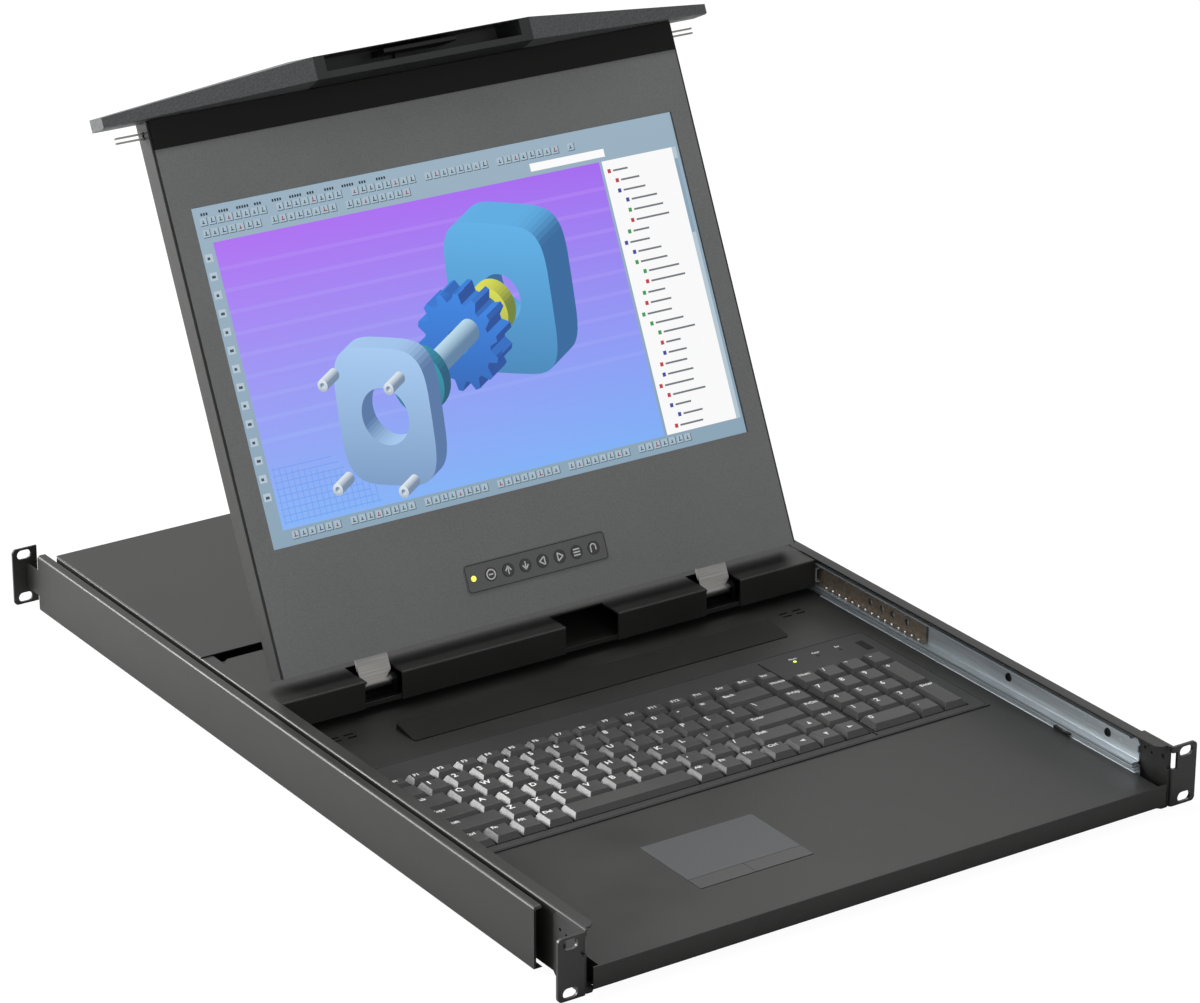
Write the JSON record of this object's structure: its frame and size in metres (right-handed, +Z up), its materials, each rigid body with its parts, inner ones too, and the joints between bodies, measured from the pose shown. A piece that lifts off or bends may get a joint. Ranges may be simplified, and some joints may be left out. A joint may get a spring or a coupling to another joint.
{
  "type": "rackmount lcd console drawer",
  "caption": "Rack drawer with a keyboard tray and a folding monitor, each sliding on its own ball-bearing rails in a low black steel chassis.",
  "frame": {"origin": "centre of the four front rack slots, on the front face of the ears", "axes": "+X to the right seen from the front, +Y towards the back of the rack, +Z up"},
  "size_m": [0.4826, 0.6878, 0.4107],
  "materials": {
    "textured_black": "fine-textured black powder coat",
    "satin_black": "satin black paint",
    "gloss_black": "smooth black",
    "black_plastic": "matt black moulding",
    "keyboard_plastic": "fine-grained black moulding",
    "key_black": "fine-grained black moulding",
    "touch_black": "satin black film",
    "grip_grey": "textured dark grey moulding",
    "grip_smooth": "smooth dark grey moulding",
    "black_rubber": "matt",
    "zinc_steel": "bright zinc plate",
    "ball_steel": "oiled steel",
    "hinge_steel": "nickel plate",
    "black_zinc": "black zinc plate",
    "screw_steel": "black oxide",
    "screen_glass": "anti-glare display face",
    "board_green": "solder mask",
    "led_lens": "moulded lens"
  },
  "bodies": {
    "chassis": {"chassis_side_left": "textured_black", "chassis_side_right": "textured_black", "chassis_floor": "textured_black", "rear_cover": "textured_black", "rear_panel": "textured_black", "rear_ports": "black_plastic", "front_ears": "textured_black", "chassis_screws": "screw_steel", "bracket_guides": "textured_black", "monitor_rail_outers": "zinc_steel", "keyboard_rail_outers": "zinc_steel"},
    "rear_bracket_left": {"rear_bracket_left": "textured_black"},
    "rear_bracket_right": {"rear_bracket_right": "textured_black"},
    "ball_cages": {"ball_cages": "ball_steel"},
    "keyboard_rail_middles": {"keyboard_rail_middles": "zinc_steel"},
    "carriage": {"carriage_pan": "textured_black", "hinge_cover": "textured_black", "hinge_bases": "black_zinc", "hinge_pins": "hinge_steel", "monitor_rail_inners": "zinc_steel", "carriage_screws": "screw_steel"},
    "monitor": {"monitor_shell": "textured_black", "monitor_bezel": "satin_black", "lcd_panel": "screen_glass", "top_strip": "gloss_black", "driver_board": "board_green", "osd_plate": "gloss_black", "monitor_led": "led_lens", "handle": "grip_smooth", "handle_wings": "grip_grey", "hinge_leaves": "hinge_steel", "monitor_screws": "screw_steel"},
    "release_tab": {"release_tab": "black_plastic"},
    "latch_bar_left": {"latch_bar_left": "hinge_steel"},
    "latch_bar_right": {"latch_bar_right": "hinge_steel"},
    "tray": {"tray_pan": "textured_black", "tray_base": "textured_black", "rest_pad": "black_rubber", "keyboard_bezel": "keyboard_plastic", "keyboard_base": "keyboard_plastic", "keyboard_leds": "led_lens", "touchpad": "touch_black", "keyboard_rail_inners": "zinc_steel"},
    "rail_levers": {"rail_levers": "black_plastic"},
    "touch_button_left": {"touch_button_left": "key_black"},
    "touch_button_right": {"touch_button_right": "key_black"},
    "osd_power_button": {"osd_power_button": "key_black"},
    "osd_up_button": {"osd_up_button": "key_black"},
    "osd_down_button": {"osd_down_button": "key_black"},
    "osd_left_button": {"osd_left_button": "key_black"},
    "osd_right_button": {"osd_right_button": "key_black"},
    "osd_menu_button": {"osd_menu_button": "key_black"},
    "osd_exit_button": {"osd_exit_button": "key_black"},
    "function_keys": {"function_keys": "key_black"},
    "number_keys": {"number_keys": "key_black"},
    "upper_letter_keys": {"upper_letter_keys": "key_black"},
    "home_letter_keys": {"home_letter_keys": "key_black"},
    "lower_letter_keys": {"lower_letter_keys": "key_black"},
    "space_row_keys": {"space_row_keys": "key_black"},
    "keypad_keys": {"keypad_keys": "key_black"}
  },
  "joints": [
    {"name": "rear_bracket_left_slide", "type": "slide", "parent": "chassis", "child": "rear_bracket_left", "axis": [0, 1, 0], "range_m": [0, 0.12]},
    {"name": "rear_bracket_right_slide", "type": "slide", "parent": "chassis", "child": "rear_bracket_right", "axis": [0, 1, 0], "range_m": [0, 0.12]},
    {"name": "monitor_carriage_slide", "type": "slide", "parent": "chassis", "child": "carriage", "axis": [0, -1, 0], "range_m": [0, 0.4]},
    {"name": "ball_cage_slide", "type": "slide", "parent": "chassis", "child": "ball_cages", "axis": [0, -1, 0], "range_m": [0, 0.2]},
    {"name": "keyboard_tray_slide", "type": "slide", "parent": "chassis", "child": "tray", "axis": [0, -1, 0], "range_m": [0, 0.4]},
    {"name": "keyboard_rail_middle_slide", "type": "slide", "parent": "chassis", "child": "keyboard_rail_middles", "axis": [0, -1, 0], "range_m": [0, 0.2]},
    {"name": "monitor_hinge", "type": "hinge", "parent": "carriage", "child": "monitor", "pos_m": [0, 0.3783, 0.0118], "axis": [1, 0, 0], "range_deg": [-8, 115.14]},
    {"name": "release_tab_slide", "type": "slide", "parent": "monitor", "child": "release_tab", "axis": [0, -0.4248, -0.9053], "range_m": [0, 0.0042], "stiffness_N_per_m": 900, "springref_m": -0.004},
    {"name": "latch_bar_left_slide", "type": "slide", "parent": "monitor", "child": "latch_bar_left", "axis": [1, 0, 0], "range_m": [0, 0.00525]},
    {"name": "latch_bar_right_slide", "type": "slide", "parent": "monitor", "child": "latch_bar_right", "axis": [-1, 0, 0], "range_m": [0, 0.00525]},
    {"name": "osd_power_press", "type": "slide", "parent": "monitor", "child": "osd_power_button", "axis": [0, 0.9053, -0.4248], "range_m": [0, 0.0005], "stiffness_N_per_m": 1200, "springref_m": -0.0005},
    {"name": "osd_up_press", "type": "slide", "parent": "monitor", "child": "osd_up_button", "axis": [0, 0.9053, -0.4248], "range_m": [0, 0.0005], "stiffness_N_per_m": 1200, "springref_m": -0.0005},
    {"name": "osd_down_press", "type": "slide", "parent": "monitor", "child": "osd_down_button", "axis": [0, 0.9053, -0.4248], "range_m": [0, 0.0005], "stiffness_N_per_m": 1200, "springref_m": -0.0005},
    {"name": "osd_left_press", "type": "slide", "parent": "monitor", "child": "osd_left_button", "axis": [0, 0.9053, -0.4248], "range_m": [0, 0.0005], "stiffness_N_per_m": 1200, "springref_m": -0.0005},
    {"name": "osd_right_press", "type": "slide", "parent": "monitor", "child": "osd_right_button", "axis": [0, 0.9053, -0.4248], "range_m": [0, 0.0005], "stiffness_N_per_m": 1200, "springref_m": -0.0005},
    {"name": "osd_menu_press", "type": "slide", "parent": "monitor", "child": "osd_menu_button", "axis": [0, 0.9053, -0.4248], "range_m": [0, 0.0005], "stiffness_N_per_m": 1200, "springref_m": -0.0005},
    {"name": "osd_exit_press", "type": "slide", "parent": "monitor", "child": "osd_exit_button", "axis": [0, 0.9053, -0.4248], "range_m": [0, 0.0005], "stiffness_N_per_m": 1200, "springref_m": -0.0005},
    {"name": "function_keys_press", "type": "slide", "parent": "tray", "child": "function_keys", "axis": [0, 0, -1], "range_m": [0, 0.0022], "stiffness_N_per_m": 1500, "springref_m": -0.0012},
    {"name": "number_keys_press", "type": "slide", "parent": "tray", "child": "number_keys", "axis": [0, 0, -1], "range_m": [0, 0.0022], "stiffness_N_per_m": 1500, "springref_m": -0.0012},
    {"name": "upper_letter_keys_press", "type": "slide", "parent": "tray", "child": "upper_letter_keys", "axis": [0, 0, -1], "range_m": [0, 0.0022], "stiffness_N_per_m": 1500, "springref_m": -0.0012},
    {"name": "home_letter_keys_press", "type": "slide", "parent": "tray", "child": "home_letter_keys", "axis": [0, 0, -1], "range_m": [0, 0.0022], "stiffness_N_per_m": 1500, "springref_m": -0.0012},
    {"name": "lower_letter_keys_press", "type": "slide", "parent": "tray", "child": "lower_letter_keys", "axis": [0, 0, -1], "range_m": [0, 0.0022], "stiffness_N_per_m": 1500, "springref_m": -0.0012},
    {"name": "space_row_keys_press", "type": "slide", "parent": "tray", "child": "space_row_keys", "axis": [0, 0, -1], "range_m": [0, 0.0022], "stiffness_N_per_m": 1500, "springref_m": -0.0012},
    {"name": "keypad_keys_press", "type": "slide", "parent": "tray", "child": "keypad_keys", "axis": [0, 0, -1], "range_m": [0, 0.0022], "stiffness_N_per_m": 1500, "springref_m": -0.0012},
    {"name": "touch_button_left_press", "type": "slide", "parent": "tray", "child": "touch_button_left", "axis": [0, 0, -1], "range_m": [0, 0.0005], "stiffness_N_per_m": 1500, "springref_m": -0.0005},
    {"name": "touch_button_right_press", "type": "slide", "parent": "tray", "child": "touch_button_right", "axis": [0, 0, -1], "range_m": [0, 0.0005], "stiffness_N_per_m": 1500, "springref_m": -0.0005},
    {"name": "rail_lever_hinge", "type": "hinge", "parent": "tray", "child": "rail_levers", "pos_m": [0, 0.104, -0.0029], "axis": [-1, 0, 0], "range_deg": [0, 8], "stiffness_Nm_per_rad": 0.05, "springref_deg": -5.73}
  ],
  "couplings": [
    {"joint": "ball_cage_slide", "follows": "monitor_carriage_slide", "ratio": 0.5},
    {"joint": "keyboard_rail_middle_slide", "follows": "keyboard_tray_slide", "ratio": 0.5},
    {"joint": "latch_bar_left_slide", "follows": "release_tab_slide", "ratio": 1.25},
    {"joint": "latch_bar_right_slide", "follows": "release_tab_slide", "ratio": 1.25}
  ]
}
